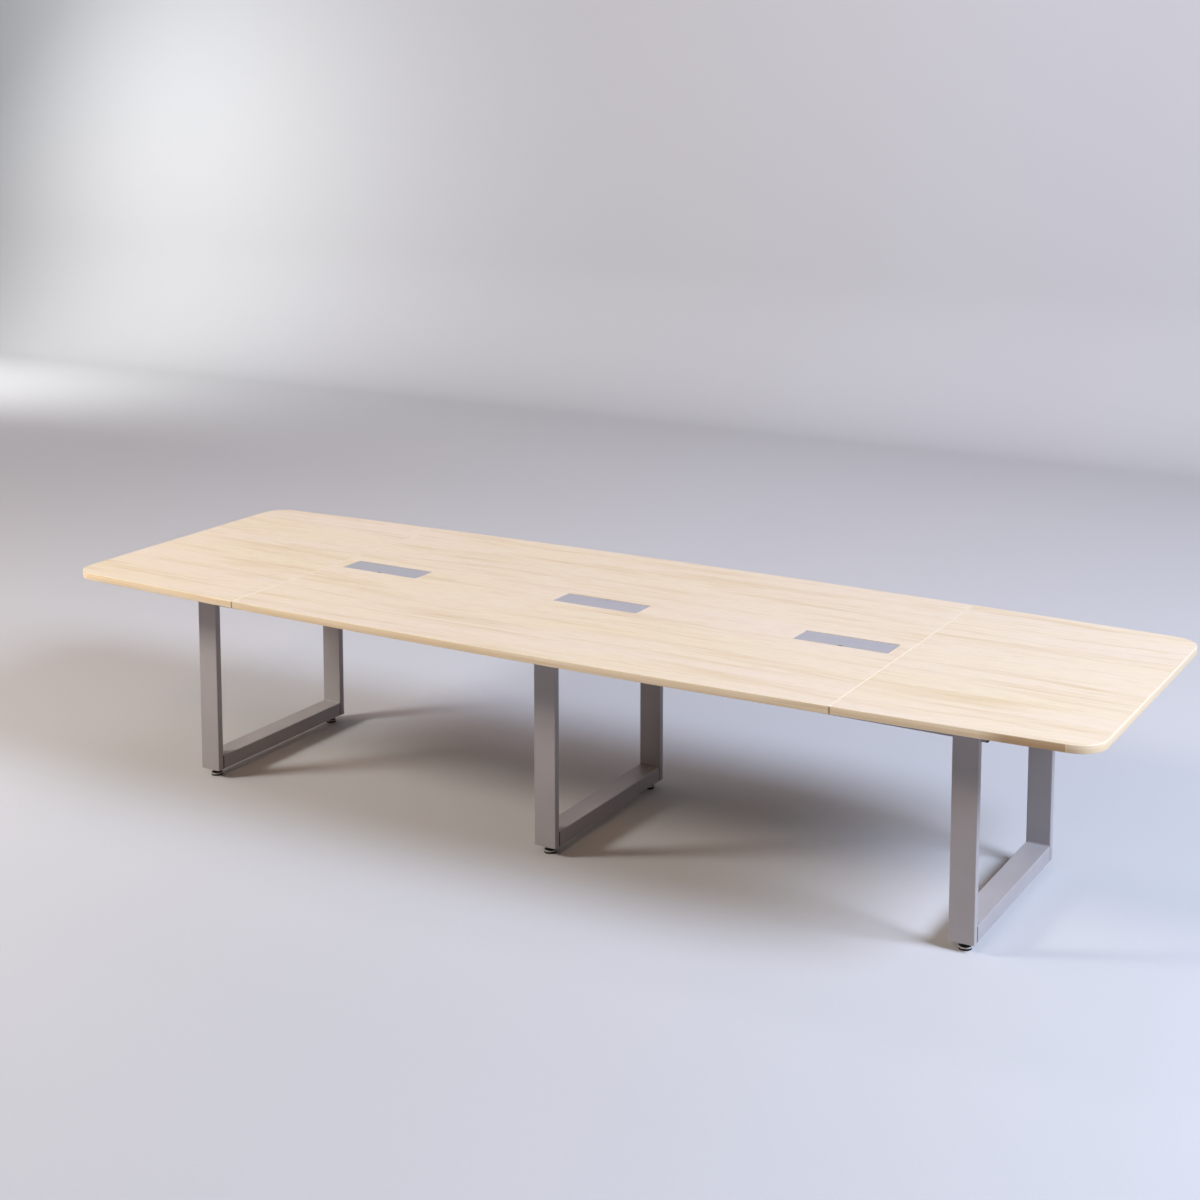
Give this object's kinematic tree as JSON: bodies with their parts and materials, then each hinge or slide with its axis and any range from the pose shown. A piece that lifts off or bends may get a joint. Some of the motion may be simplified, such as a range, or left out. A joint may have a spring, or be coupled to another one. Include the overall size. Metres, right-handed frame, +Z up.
{
  "type": "conference table",
  "caption": "Long boat-shaped conference table: banded woodgrain top in joined boards on tubular steel leg frames, with hinged aluminium cable hatches and levelling feet.",
  "frame": {"origin": "on the floor under the middle of the top", "axes": "+X along the table, +Y towards its rear long side, +Z up"},
  "size_m": [3.7, 1.244, 0.75],
  "materials": {
    "board": "pale woodgrain laminate",
    "band": "woodgrain edge band, rounded arris",
    "lid": "brushed along its length, anodised",
    "frame": "satin grey powder coat",
    "tray": "matt dark grey powder coat",
    "steel": "zinc plated",
    "cap": "moulded black plastic",
    "pad": "moulded grey plastic"
  },
  "bodies": {
    "table": {"left_top_board": "board", "left_edge_band": "band", "centre_top_board": "board", "centre_edge_band": "band", "right_top_board": "board", "right_edge_band": "band", "left_hinge_pin": "steel", "left_hatch_tray": "tray", "middle_hinge_pin": "steel", "middle_hatch_tray": "tray", "right_hinge_pin": "steel", "right_hatch_tray": "tray", "left_floor_rail": "frame", "left_front_post": "frame", "left_front_top_plate": "frame", "left_rear_post": "frame", "left_rear_top_plate": "frame", "middle_floor_rail": "frame", "middle_front_post": "frame", "middle_front_top_plate": "frame", "middle_rear_post": "frame", "middle_rear_top_plate": "frame", "right_floor_rail": "frame", "right_front_post": "frame", "right_front_top_plate": "frame", "right_rear_post": "frame", "right_rear_top_plate": "frame", "front_beam": "frame", "front_beam_left_cap": "cap", "front_left_bracket": "frame", "front_beam_right_cap": "cap", "front_right_bracket": "frame", "rear_beam": "frame", "rear_beam_left_cap": "cap", "rear_left_bracket": "frame", "rear_beam_right_cap": "cap", "rear_right_bracket": "frame", "left_end_cross_bar": "frame", "left_seam_cross_bar": "frame", "right_end_cross_bar": "frame", "right_seam_cross_bar": "frame"},
    "left_lid": {"left_hatch_lid": "lid"},
    "middle_lid": {"middle_hatch_lid": "lid"},
    "right_lid": {"right_hatch_lid": "lid"},
    "left_front_pad": {"left_front_foot_pad": "pad"},
    "left_front_stem": {"left_front_foot_stem": "steel"},
    "left_rear_pad": {"left_rear_foot_pad": "pad"},
    "left_rear_stem": {"left_rear_foot_stem": "steel"},
    "middle_front_pad": {"middle_front_foot_pad": "pad"},
    "middle_front_stem": {"middle_front_foot_stem": "steel"},
    "middle_rear_pad": {"middle_rear_foot_pad": "pad"},
    "middle_rear_stem": {"middle_rear_foot_stem": "steel"},
    "right_front_pad": {"right_front_foot_pad": "pad"},
    "right_front_stem": {"right_front_foot_stem": "steel"},
    "right_rear_pad": {"right_rear_foot_pad": "pad"},
    "right_rear_stem": {"right_rear_foot_stem": "steel"}
  },
  "joints": [
    {"name": "left_lid_hinge", "type": "hinge", "parent": "table", "child": "left_lid", "pos_m": [-0.885, 0.031, 0.7415], "axis": [-1, 0, 0], "range_deg": [0, 110]},
    {"name": "middle_lid_hinge", "type": "hinge", "parent": "table", "child": "middle_lid", "pos_m": [0, -0.031, 0.7415], "axis": [1, 0, 0], "range_deg": [0, 110]},
    {"name": "right_lid_hinge", "type": "hinge", "parent": "table", "child": "right_lid", "pos_m": [0.885, 0.031, 0.7415], "axis": [-1, 0, 0], "range_deg": [0, 110]},
    {"name": "left_front_foot_height", "type": "slide", "parent": "table", "child": "left_front_pad", "axis": [0, 0, -1], "range_m": [0, 0.015]},
    {"name": "left_front_stem_turn", "type": "hinge", "parent": "left_front_pad", "child": "left_front_stem", "pos_m": [-1.41, -0.332, 0], "axis": [0, 0, -1], "range_deg": [0, 4321]},
    {"name": "left_rear_foot_height", "type": "slide", "parent": "table", "child": "left_rear_pad", "axis": [0, 0, -1], "range_m": [0, 0.015]},
    {"name": "left_rear_stem_turn", "type": "hinge", "parent": "left_rear_pad", "child": "left_rear_stem", "pos_m": [-1.41, 0.332, 0], "axis": [0, 0, -1], "range_deg": [0, 4321]},
    {"name": "middle_front_foot_height", "type": "slide", "parent": "table", "child": "middle_front_pad", "axis": [0, 0, -1], "range_m": [0, 0.015]},
    {"name": "middle_front_stem_turn", "type": "hinge", "parent": "middle_front_pad", "child": "middle_front_stem", "pos_m": [0, -0.332, 0], "axis": [0, 0, -1], "range_deg": [0, 4321]},
    {"name": "middle_rear_foot_height", "type": "slide", "parent": "table", "child": "middle_rear_pad", "axis": [0, 0, -1], "range_m": [0, 0.015]},
    {"name": "middle_rear_stem_turn", "type": "hinge", "parent": "middle_rear_pad", "child": "middle_rear_stem", "pos_m": [0, 0.332, 0], "axis": [0, 0, -1], "range_deg": [0, 4321]},
    {"name": "right_front_foot_height", "type": "slide", "parent": "table", "child": "right_front_pad", "axis": [0, 0, -1], "range_m": [0, 0.015]},
    {"name": "right_front_stem_turn", "type": "hinge", "parent": "right_front_pad", "child": "right_front_stem", "pos_m": [1.41, -0.332, 0], "axis": [0, 0, -1], "range_deg": [0, 4321]},
    {"name": "right_rear_foot_height", "type": "slide", "parent": "table", "child": "right_rear_pad", "axis": [0, 0, -1], "range_m": [0, 0.015]},
    {"name": "right_rear_stem_turn", "type": "hinge", "parent": "right_rear_pad", "child": "right_rear_stem", "pos_m": [1.41, 0.332, 0], "axis": [0, 0, -1], "range_deg": [0, 4321]}
  ],
  "couplings": [
    {"joint": "left_front_stem_turn", "follows": "left_front_foot_height", "rad_per_m": 5026.5},
    {"joint": "left_rear_stem_turn", "follows": "left_rear_foot_height", "rad_per_m": 5026.5},
    {"joint": "middle_front_stem_turn", "follows": "middle_front_foot_height", "rad_per_m": 5026.5},
    {"joint": "middle_rear_stem_turn", "follows": "middle_rear_foot_height", "rad_per_m": 5026.5},
    {"joint": "right_front_stem_turn", "follows": "right_front_foot_height", "rad_per_m": 5026.5},
    {"joint": "right_rear_stem_turn", "follows": "right_rear_foot_height", "rad_per_m": 5026.5}
  ]
}
